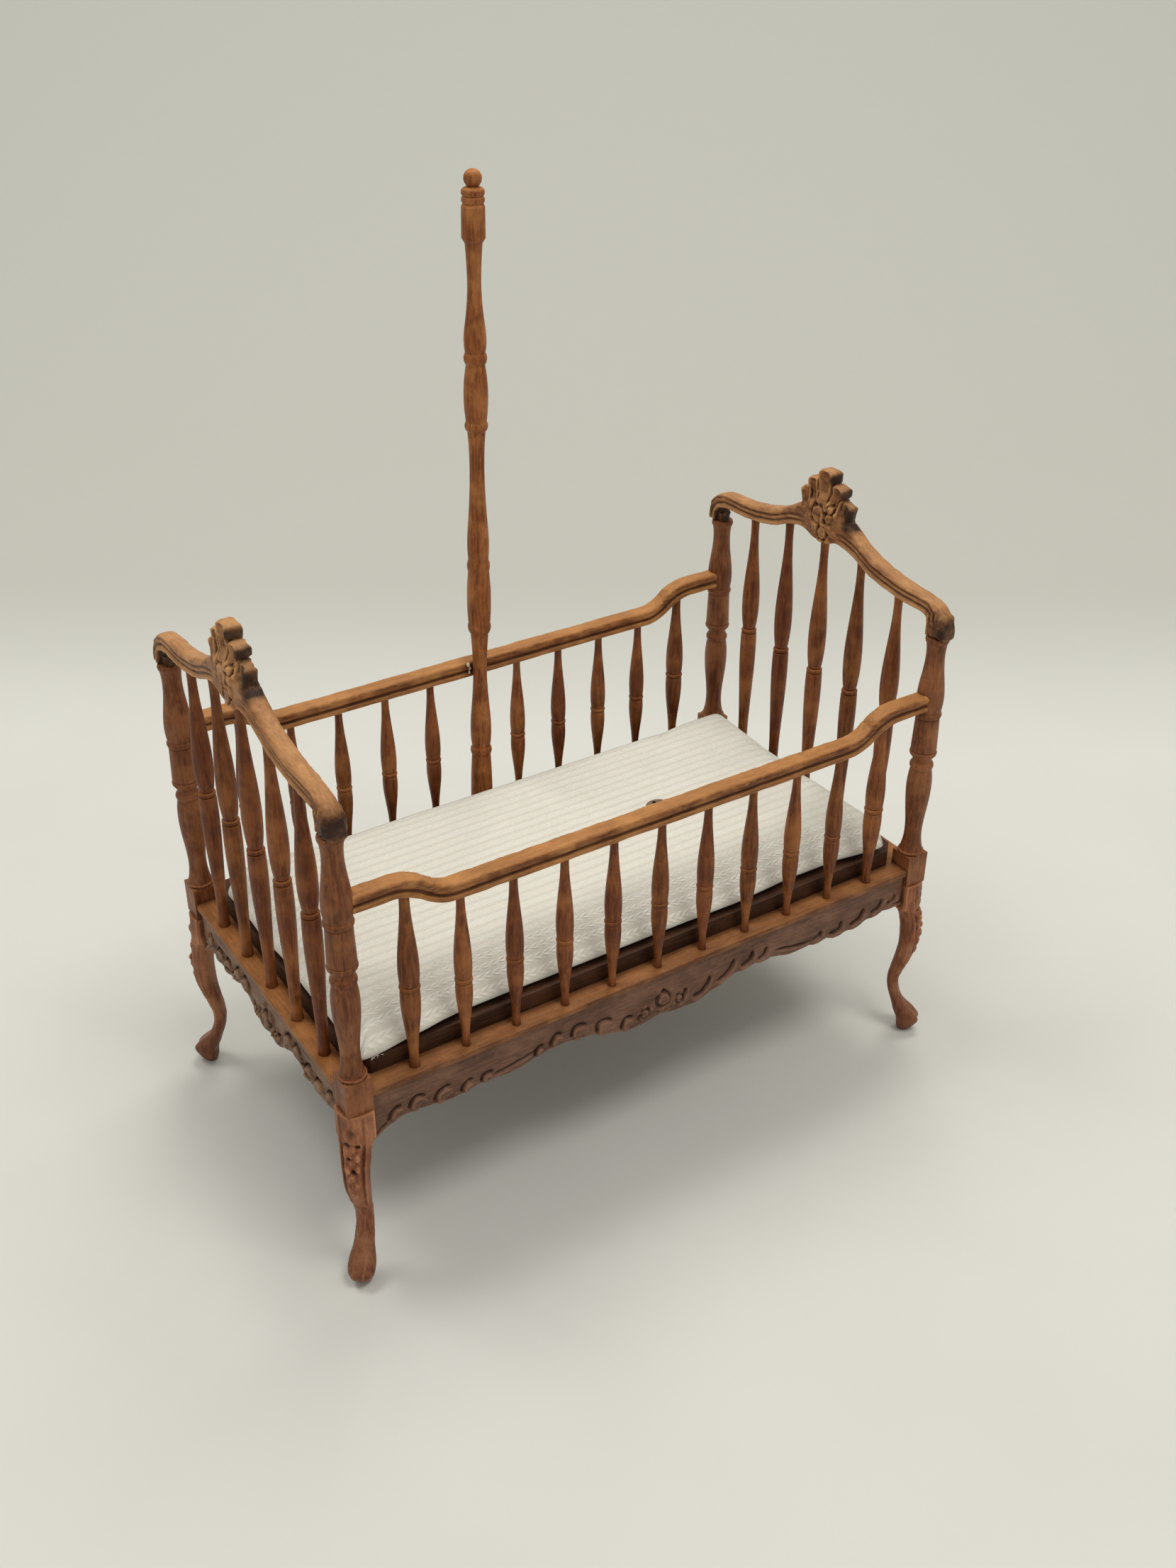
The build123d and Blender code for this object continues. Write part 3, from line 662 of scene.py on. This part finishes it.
def apron_field(along_x, side, left_strokes, right_strokes, boldness):
    """A shaped apron, carved along its lower edge with a flower at the middle and leaves either side."""
    name = ("front" if side < 0 else "rear") if along_x else ("left" if side < 0 else "right")
    low, high = box_mm(name + "_apron")
    top = high[2]
    across_axis = 1 if along_x else 0
    length_half = high[0 if along_x else 1]
    face = high[across_axis] if side > 0 else -low[across_axis]
    back = low[across_axis] if side > 0 else -high[across_axis]
    left_drop, right_drop = (
        np.array(curve_through([(share * length_half, drop) for share, drop in edge], 10)).T
        for edge in (left_edge, right_edge)
    )

    def field(x, y, z):
        along = (x if along_x else y) * (-side if along_x else side)
        out = side * (y if along_x else x)
        a = np.abs(along)
        share = a / length_half
        drop = np.where(along > 0, np.interp(a, *right_drop), np.interp(a, *left_drop))
        above = z - (top - drop)
        bent = along + 0.3 * noise(x, y, z, 1.7, 35)
        lifted = above + 0.25 * noise(x, y, z, 1.7, 36)
        cuts = 0
        leaves = 0
        for hand, strokes in ((-1, left_strokes), (1, right_strokes)):
            for place, height, radius, start, end in strokes:
                centre = hand * place * length_half
                cut, leaf = stroke_relief(bent, lifted, centre, height, radius, start, end)
                cuts = np.maximum(cuts, cut)
                leaves = np.maximum(leaves, leaf)
        away = ease(a, 3.0, 5.5)
        ribbon_place = 0.95 + 0.35 * np.sin(a * 0.5)
        ribbon_span = ease(share, 0.44, 0.48) * ease(share, 0.62, 0.58)
        ribbon = ridge(above - ribbon_place, 0.3) * ribbon_span
        groove = ridge(above - ribbon_place - 0.5, 0.2) * ribbon_span
        ribbon = ribbon + 0.7 * ridge(above - 0.45, 0.3) * ease(share, 0.93, 0.97)
        groove = groove + 0.8 * ridge(above - 1.0, 0.2) * ease(share, 0.93, 0.97)
        middle = flower(along, above, (0.3, 3.6), 1.25, 5, 0.5)
        middle = middle + 0.6 * flower(along, above, (-3.6, 2.4), 0.75, 5, 1.0)
        middle = (middle + 0.6 * flower(along, above, (3.9, 2.6), 0.75, 5, 0.1)) * ease(a, 6.5, 4.5)
        height = away * (0.34 * leaves - 0.6 * cuts) + 0.24 * ribbon - 0.4 * groove
        height = height + 0.9 * np.maximum(middle, -0.7)
        height = height + 0.1 * noise(x, y, z, 1.8, 34) * ease(above, 4.0, 2.5)
        height = np.clip(height, -0.8, 0.6) * boldness
        surface = face - 0.42 + height - 0.45 * ease(z, top - 0.45, top - 0.2)
        waver = 0.05 * noise(x, y, z, 0.9, 31) + 0.06 * noise(x, y, z, 3.1, 32)
        bumps = 0.22 * leaves * ease(above, 1.4, 0.3) * away + 0.1 * noise(x, y, z, 2.4, 33)
        depth = rounded_corner(-above - bumps, out - surface + waver, 0.25)
        depth = np.maximum(depth, back - out)
        depth = np.maximum(depth, np.maximum(z - top, a - length_half))
        # Painted shade with dark grime in the cut strokes, the groove and the middle flowers' hollows.
        scorch_and_shade = 0.4 * cuts * away + 0.5 * groove + 0.5 * ease(a, 6.5, 4.5) * ease(middle, -0.1, -0.6)
        return depth, np.clip(scorch_and_shade, 0, 1) + 0 * depth

    return field


# ------------------------ side top rails
rail_low = 30.3
rail_high = 34.4
bend_start = 8.2
bend_end = 19.4
rail_short = 1.2               # how far the rail stops from a post's axis
post_hollow = 2.25             # the radius of the hollow in its end, round the post
# The parts of the rail's section: height of the middle, half height, half thickness and edge radius.
rail_bead = (0.47, 0.45, 1.58, 0.28)
rail_core = (1.2, 1.0, 1.05, 0.1)
rail_crown = (2.25, 0.95, 1.68, 0.85)


def rail_part(up, out, middle, half_height, half_thickness, radius):
    """A rounded bar along the rail."""
    return rounded_corner(np.abs(up - middle) - half_height, out - half_thickness, radius)


def top_rail_field(side):
    """A crowned rail with a groove and a bead, its top cut by hand with a knife."""
    line = side * half_y

    def field(x, y, z):
        from_post = half_x - np.abs(x)
        t = np.clip((from_post - bend_start) / (bend_end - bend_start), 0, 1)
        fall = np.where(t < 0.5, 2 * t * t, 1 - 2 * (1 - t) ** 2)
        slope = 4 * np.minimum(t, 1 - t) * (rail_high - rail_low) / (bend_end - bend_start)
        up = (z - frame_top - rail_high + (rail_high - rail_low) * fall) / np.sqrt(1 + slope * slope)
        out = np.abs(y - line)
        bead = rail_part(up, out, *rail_bead)
        core = rail_part(up, out, *rail_core)
        crown = rail_part(up, out, *rail_crown)
        cuts = 0.06 * noise(x, y, z, (1.5, 0.9, 0.9), 41 + side) + 0.05 * noise(x, y, z, 0.5, 43)
        crown = crown + cuts * ease(up, 1.7, 2.4) + 0.06
        depth = blend_min(blend_min(bead, core, 0.12), crown, 0.12)
        depth = depth + 0.05 * noise(x, y, z, (2.5, 1, 1), 45)
        depth = np.maximum(depth, rail_short - from_post)
        post = post_hollow - np.hypot(from_post, y - line)
        depth = np.maximum(depth, post)
        return depth, 0.0 * depth

    return field


carving_step = 0.17
relief_margin = 0.8            # how far a carving may stand past its CAD part's box
rail_margin = 0.6
bracket_margin = bracket_reach - 1.5       # and how far more a leg's brackets may


def carve(node, piece_name, field, margin, material, more_low=0, more_high=0):
    """A carved piece in place of a CAD part."""
    low, high = box_mm(node)
    piece = skin(piece_name, field, low - margin - more_low, high + margin + more_high, carving_step)
    fit(piece, node, material)


for side, name in ((-1, "left"), (1, "right")):
    node = name + "_crest_rail"
    carve(node, name + "_crest_carving", crest_field(side), relief_margin, wood_crest)
    node = name + "_apron"
    field = apron_field(False, side, end_strokes, end_strokes, 1.35)
    carve(node, name + "_apron_carving", field, relief_margin, wood_end)
for side, name in ((-1, "front"), (1, "rear")):
    node = name + "_apron"
    field = apron_field(True, side, lobe_strokes, flame_strokes, 1.0)
    carve(node, name + "_apron_carving", field, relief_margin, wood_apron)
    node = name + "_top_rail"
    carve(node, name + "_rail_carving", top_rail_field(side), rail_margin, wood_rail)
    for sx, hand in ((-1, "left"), (1, "right")):
        node = f"{name}_{hand}_leg"
        outward = bracket_margin * np.array([sx, side, 0])
        more_low = np.maximum(outward, 0)
        more_high = np.maximum(-outward, 0)
        field = leg_field(sx, side)
        carve(node, node + "_carving", field, relief_margin, wood_leg, more_low, more_high)


# ------------------------ mattress
band_width = 2.2
rib_pitch = 0.3
puff_pitch = 1.6


def fabric():
    """White cotton with bands of raised diagonal puffs between bands of fine ribs. Its UVs are in mm."""
    s = Shader("PadCotton")
    split = s.node("SeparateXYZ", {0: s.node("UVMap", uv_map="weave")}).node
    u = split.outputs[0]
    v = split.outputs[1]
    wander = s.texture((9, 9, 9), 2.0)
    v = s.math("ADD", v, s.math("MULTIPLY", s.math("SUBTRACT", wander, 0.5), 0.5))
    band = s.math("FRACT", s.math("DIVIDE", v, band_width))

    def puffs(start, end, slope, shift):
        """A row of puffs that lean by slope, between two places across the band."""
        place = s.math("DIVIDE", s.math("SUBTRACT", band, start), end - start)
        inside = s.math("MULTIPLY", s.remap(place, 0.0, 0.35), s.remap(place, 1.0, 0.65))
        lean = s.math("ADD", u, s.math("MULTIPLY", place, slope))
        along = s.math("FRACT", s.math("DIVIDE", s.math("ADD", lean, shift), puff_pitch))
        arch = s.math("SINE", s.math("MULTIPLY", along, math.pi))
        return s.math("MULTIPLY", s.math("POWER", arch, 2.6), inside)

    uneven = s.remap(s.texture((1.6, 1.6, 1.6), 1.0), 0.3, 0.6, 0.35, 1.0)
    raised = s.math("ADD", puffs(0.0, 0.36, 1.1, 0.0), puffs(0.3, 0.66, -1.0, 0.9))
    raised = s.math("MULTIPLY", raised, uneven)
    ribs = s.math("SINE", s.math("MULTIPLY", u, 2 * math.pi / rib_pitch))
    rib_zone = s.math("MULTIPLY", s.remap(band, 0.6, 0.68), s.remap(band, 1.0, 0.94))
    ribs = s.math("MULTIPLY", ribs, rib_zone)
    threads = s.texture((0.25, 0.25, 0.25), 2.0)
    height = s.math("ADD", raised, s.math("MULTIPLY", ribs, 0.26))
    height = s.math("ADD", height, s.math("MULTIPLY", threads, 0.25))
    stripe = s.math("SINE", s.math("MULTIPLY", v, 2 * math.pi / (2 * band_width)))
    cloud = s.texture((14, 14, 14), 2.0)
    # Painted light and shade on the quilting: raised puffs lighter, the dips between them darker.
    tone = s.mix(s.remap(height, 0.0, 0.9), srgb(234, 230, 217), srgb(245, 242, 231))
    tone = s.mix(s.remap(stripe, -1.0, 1.0, 0.0, 0.14), tone, srgb(238, 222, 202))
    tone = s.mix(s.remap(cloud, 0.4, 0.7, 0.0, 0.2), tone, srgb(226, 223, 208))
    # Painted shade: creases in the cloth darkened from ambient occlusion.
    painted_crevice_shade = s.node("AmbientOcclusion", {"Distance": 1.2 * MM}, out="AO", samples=6)
    tone = s.mix(s.remap(painted_crevice_shade, 0.3, 0.7, 0.25, 0.0), tone, srgb(176, 166, 142))
    return s.finish(tone, 0.92, height, 0.13, Sheen_Weight=0.25, Specular_IOR_Level=0.15)


blow_up = 10.0                # the cloth is simulated at ten times its size
pad_low, pad_high = box_mm("mattress")
pad_middle = (pad_low + pad_high) / 2
platform_low, platform_high = box_mm("mattress_platform")
pad_inset = np.array([0.9, 0.9, 0.45])     # how much smaller the pad is before it is filled
most_swelling = 1.5
pad_grid = 1.25
right_end_grows = 1.5
# The pad's lower front edge: places along it, how far it lies outside the platform, and how far it hangs.
hem_x = (-57, -53, -48, -43, -37, -23, -8, 9, 20, 31, 43, 50, 55.5)
hem_out = (0.3, 0.5, 0.5, 0.3, -0.6, -0.5, -0.5, -0.5, -0.3, -1.1, -1.2, -0.5, 0.2)
hem_drop = (1.1, 1.25, 0.8, 0.3, 0, 0, 0, 0, 0, 0, 0, 0, 0.15)


def pad_start():
    """The pad before it is filled: a rounded slab, a little smaller than it will be."""
    half = (pad_high - pad_low) / 2 - pad_inset
    counts = np.round(2 * half / pad_grid).astype(int)
    axes = [np.linspace(-h, h, n + 1) for h, n in zip(half, counts)]
    points = {}
    verts = []
    faces = []

    def vertex(p):
        key = tuple(np.round(p, 4))
        if key not in points:
            points[key] = len(verts)
            corner = 1.35 + 0.55 * p[2] / half[2]
            inner = np.clip(p, -half + corner, half - corner)
            off = p - inner
            length = np.linalg.norm(off)
            verts.append(inner + off * (corner / length if length > corner else 1.0))
        return points[key]

    for axis in range(3):
        b = (axis + 1) % 3
        c = (axis + 2) % 3
        for sign in (-1, 1):
            for p0, p1 in zip(axes[b], axes[b][1:]):
                for q0, q1 in zip(axes[c], axes[c][1:]):
                    ring = []
                    for p, q in ((p0, q0), (p1, q0), (p1, q1), (p0, q1)):
                        place = np.zeros(3)
                        place[axis] = sign * half[axis]
                        place[b] = p
                        place[c] = q
                        ring.append(vertex(place))
                    faces.append(ring[::sign])
    mesh = bpy.data.meshes.new("pad")
    mesh.from_pydata([tuple(v * MM * blow_up) for v in verts], [], faces)
    pad = bpy.data.objects.new("mattress_pad", mesh)
    bpy.context.scene.collection.objects.link(pad)
    return pad


def fill_pad(pad):
    """Cloth simulation: the pad swells under pressure."""
    cloth = pad.modifiers.new("Cloth", "CLOTH")
    cloth.settings.use_pressure = True
    cloth.settings.uniform_pressure_force = 2.2
    cloth.settings.quality = 4
    cloth.settings.mass = 0.3
    cloth.settings.tension_stiffness = 18
    cloth.settings.compression_stiffness = 18
    cloth.settings.bending_stiffness = 0.6
    cloth.settings.effector_weights.gravity = 0
    scene = bpy.context.scene
    for number in range(1, 17):
        scene.frame_set(number)
    view_layer = bpy.context.evaluated_depsgraph_get()
    settled = pad.evaluated_get(view_layer).to_mesh()
    co = np.zeros(len(settled.vertices) * 3, np.float32)
    settled.vertices.foreach_get("co", co)
    pad.modifiers.remove(cloth)
    scene.frame_set(1)
    return co.reshape(-1, 3)


def shape_pad(start, swollen):
    """The swollen pad, with a cap on how far it moved, its base flat and its lower front edge let down."""
    move = swollen - start
    length = np.linalg.norm(move, axis=1, keepdims=True) + 1e-9
    move = move / length * most_swelling * np.tanh(length / most_swelling)
    p = start + move + pad_middle
    x, y, z = p.T
    height = (z - pad_low[2]) / (pad_high[2] - pad_low[2])
    x = x + 0.25 * noise(x, y, z, 9.0, 51) * (height > 0.1)
    z = z + 0.16 * noise(x, y, z, (16, 9, 9), 52) * ease(height, 0.4, 0.9)
    lower = ease(height, 0.9, 0.1)
    base_line = height < 0.15
    front = ease(y, pad_middle[1] - 14, y[base_line].min() + 0.4)
    y = y + front * lower * (platform_low[1] - np.interp(x, hem_x, hem_out) - y[base_line].min())
    end = ease(x, pad_low[0] + 16, x[base_line].min() + 0.4)
    x = x + end * lower * (platform_low[0] - 0.1 - x[base_line].min())
    x = x + right_end_grows * ease(x, pad_high[0] - 16, pad_high[0] - 1)
    y = y + 0.12 * noise(x, y, z, 3.0, 54) * ease(height, 0.2, 0.5)
    base = platform_high[2] + 0.12
    hangs = ease(y, platform_low[1] + 0.1, platform_low[1] - 0.2) * ease(height, 0.6, 0.0)
    z = z - hangs * np.interp(x, hem_x, hem_drop)
    over = (x > platform_low[0]) & (x < platform_high[0])
    over = over & (y > platform_low[1] - 0.05) & (y < platform_high[1])
    z = np.where(over, np.maximum(z, base), z)
    return np.stack([x, y, z], 1)


def weave_map(mesh, start):
    """UVs in mm along and across the pad's bands, which run over its edges."""
    half = (pad_high - pad_low) / 2
    off = start.T
    drop = half[2] - off[2]
    past_side = np.abs(off[1]) - (half[1] - 2.2)
    past_end = np.abs(off[0]) - (half[0] - 2.2)
    side = ease(past_side, 0.0, 1.2) * ease(past_side - past_end, -0.4, 0.4)
    end = ease(past_end, 0.0, 1.2) * (1 - side)
    u = off[0] + np.sign(off[0]) * drop * end
    v = off[1] + np.sign(off[1]) * drop * side
    layer = mesh.uv_layers.new(name="weave")
    corner = np.zeros(len(mesh.loops), int)
    mesh.loops.foreach_get("vertex_index", corner)
    layer.data.foreach_set("uv", np.stack([u, v], 1)[corner].ravel())


pad = pad_start()
pad_rest = np.zeros(len(pad.data.vertices) * 3, np.float32)
pad.data.vertices.foreach_get("co", pad_rest)
pad_rest = pad_rest.reshape(-1, 3)
swollen = fill_pad(pad)
filled = shape_pad(pad_rest / (MM * blow_up), swollen / (MM * blow_up))
weave_map(pad.data, pad_rest / (MM * blow_up))
pad.data.vertices.foreach_set("co", (filled * MM).astype(np.float32).ravel())
pad.data.polygons.foreach_set("use_smooth", [True] * len(pad.data.polygons))
pad.data.update()
divide = pad.modifiers.new("Finer", "SUBSURF")
divide.levels = 1
divide.render_levels = 1
pad.data.materials.append(fabric())
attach(pad, "mattress")
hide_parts("mattress")


# ------------------------ frayed threads and dried glue
def thread_cotton():
    """Undyed cotton thread."""
    s = Shader("ThreadCotton")
    twist = s.texture((0.2, 0.2, 0.2), 2.0)
    tone = s.mix(s.remap(twist, 0.3, 0.7), srgb(205, 198, 178), srgb(242, 238, 226))
    return s.finish(tone, 0.9, twist, 0.02)


def threads(name, middle, spread, length, count, random):
    """Loose ends of thread round a place."""
    curve = bpy.data.curves.new(name, "CURVE")
    curve.dimensions = "3D"
    curve.bevel_depth = 0.04 * MM
    curve.bevel_resolution = 2

    def between_each(*ranges):
        return np.array([random.uniform(low, high) for low, high in ranges])

    for _ in range(count):
        aside, above = between_each((-spread, spread), (-0.15, 0.15))
        start = np.array(middle) + (aside, 0, above)
        heading = between_each((-0.8, 0.8), (-0.35, -0.05), (-0.6, 0.35))
        aside, above = between_each((-0.6, 0.6), (-0.6, 0.3))
        bend = np.array([aside, 0.1, above])
        reach = length * random.uniform(0.5, 1.0)
        spline = curve.splines.new("NURBS")
        spline.points.add(3)
        for i in range(4):
            t = i / 3
            place = start + reach * (heading * t + bend * t * t)
            spline.points[i].co = (*(place * MM), 1)
        spline.order_u = 3
        spline.use_endpoint_u = True
    curve.materials.append(thread_cotton())
    made = bpy.data.objects.new(name, curve)
    bpy.context.scene.collection.objects.link(made)
    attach(made, "mattress")


torn_hem = (platform_low[0] + 3.2, platform_low[1] - 0.2, platform_high[2] + 0.15)
threads("mattress_threads", torn_hem, 0.9, 0.7, 9, np.random.default_rng(61))


def glue_material():
    """Old yellowed glue."""
    s = Shader("DriedGlue")
    cloud = s.texture((0.5, 0.5, 0.5), 3.0)
    tone = s.mix(s.remap(cloud, 0.35, 0.65), srgb(188, 166, 128), srgb(226, 214, 184))
    return s.finish(tone, 0.35, cloud, 0.05, Specular_IOR_Level=0.5)


rail_face = box_mm("rear_top_rail")[0][1]
glue_middle = -0.35
# The beads of glue either side of the pole: place along the rail, height above the frame, radius.
glue_drops = [
    (-1.75, 33.1, 0.42), (-1.6, 31.4, 0.3), (-1.45, 32.3, 0.3), (1.7, 32.9, 0.4), (1.45, 31.8, 0.28),
    (1.95, 33.3, 0.25),
]


def glue_field(x, y, z):
    """Dried beads of glue in the corners between the pole and the rear rail's inner face."""
    depth = 9.0
    for place, up, radius in glue_drops:
        along = (x - glue_middle - place) / 0.9
        out = (y - rail_face + 0.1) / 0.8
        above = (z - frame_top - up) / 1.2
        reach = np.sqrt(along ** 2 + out ** 2 + above ** 2)
        depth = blend_min(depth, reach - radius, 0.2)
    depth = depth + 0.07 * noise(x, y, z, 0.45, 71)
    return depth, 0.0 * depth


glue_low = (-3.2, rail_face - 1.2, frame_top + 30)
glue_high = (2.6, rail_face + 1.0, frame_top + 35)
glue = skin("pole_glue", glue_field, glue_low, glue_high, 0.1)
glue.data.materials.append(glue_material())
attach(glue, "cot")


# ------------------------ stage, lights and camera
view_turn = math.radians(-33.3)


def paper(colour):
    """Plain paper, with painted shade that greys it with distance behind the cot."""
    s = Shader("Paper")
    cloud = s.texture((60, 60, 60), 2.0)
    tone = s.mix(s.remap(cloud, 0.3, 0.7), colour, scaled(colour, 0.97))
    away = (-math.sin(view_turn), math.cos(view_turn), 0)
    place = s.node("TexCoord", out="Object")
    run = s.node("VectorMath", {0: place, 1: away}, out="Value", operation="DOT_PRODUCT")
    # Painted shade on the far paper and the wall behind the cot.
    far = (0.74 * colour[0], 0.74 * colour[1], 0.72 * colour[2], 1)
    tone = s.mix(s.remap(run, 0.11, 0.225), tone, far)
    return s.finish(tone, 0.85, cloud, 0.01)


floor_half = 1600.0
sweep_start = 330.0
sweep_radius = 420.0
wall_top = 2200.0
stage_half_width = 2200.0
profile = [(-floor_half, 0.0), (sweep_start, 0.0)]
profile += [
    (sweep_start + sweep_radius * math.sin(a), sweep_radius * (1 - math.cos(a)))
    for a in np.linspace(0, math.pi / 2, 24)[1:]
]
profile.append((sweep_start + sweep_radius, wall_top))
verts = []
for run, rise in profile:
    for wide in (-stage_half_width, stage_half_width):
        verts.append((
            (wide * math.cos(view_turn) - run * math.sin(view_turn)) * MM,
            (wide * math.sin(view_turn) + run * math.cos(view_turn)) * MM,
            rise * MM,
        ))
faces = [(2 * i, 2 * i + 1, 2 * i + 3, 2 * i + 2) for i in range(len(profile) - 1)]
mesh = bpy.data.meshes.new("backdrop")
mesh.from_pydata(verts, [], faces)
mesh.polygons.foreach_set("use_smooth", [True] * len(faces))
mesh.materials.append(paper(srgb(226, 225, 218)))
backdrop = bpy.data.objects.new("backdrop", mesh)
bpy.context.scene.collection.objects.link(backdrop)


lamp_target = (0, 0, 40)


def lamp(name, place, size, watts, colour):
    """A soft rectangular lamp that faces the cot, placed in millimetres."""
    data = bpy.data.lights.new(name, "AREA")
    data.shape = "RECTANGLE"
    data.size = size[0] * MM
    data.size_y = size[1] * MM
    data.energy = watts
    data.color = colour
    made = bpy.data.objects.new(name, data)
    made.location = Vector(place) * MM
    made.rotation_euler = (Vector(lamp_target) - Vector(place)).to_track_quat("-Z", "Y").to_euler()
    bpy.context.scene.collection.objects.link(made)


lamp("key", (120, -520, 1250), (430, 360), 4.5, (1.0, 0.97, 0.93))
lamp("back_right", (420, 330, 1200), (460, 340), 3.4, (1.0, 0.98, 0.95))
lamp("back_left", (-380, 420, 1200), (460, 340), 3.4, (1.0, 0.98, 0.95))
world = bpy.data.worlds.new("World")
bpy.context.scene.world = world
world.use_nodes = True
sky = world.node_tree.nodes["Background"].inputs
sky["Color"].default_value = (0.93, 0.95, 0.92, 1)
sky["Strength"].default_value = 0.47
bpy.context.scene.view_settings.view_transform = "Standard"

# The camera, as found from the photo: its place in mm, its direction, its roll and its focal length.
eye = Vector((-136.86, -217.16, 218.72)) * MM
sight = Vector((0.4679, 0.7119, -0.5237))
camera_roll = 0.0065
camera = bpy.data.objects.new("camera", bpy.data.cameras.new("camera"))
camera.location = eye
camera.rotation_euler = sight.to_track_quat("-Z", "Y").to_euler()
camera.rotation_euler.rotate_axis("Z", camera_roll)
camera.data.lens = 37.94
camera.data.clip_start = 0.01
bpy.context.scene.collection.objects.link(camera)
bpy.context.scene.camera = camera
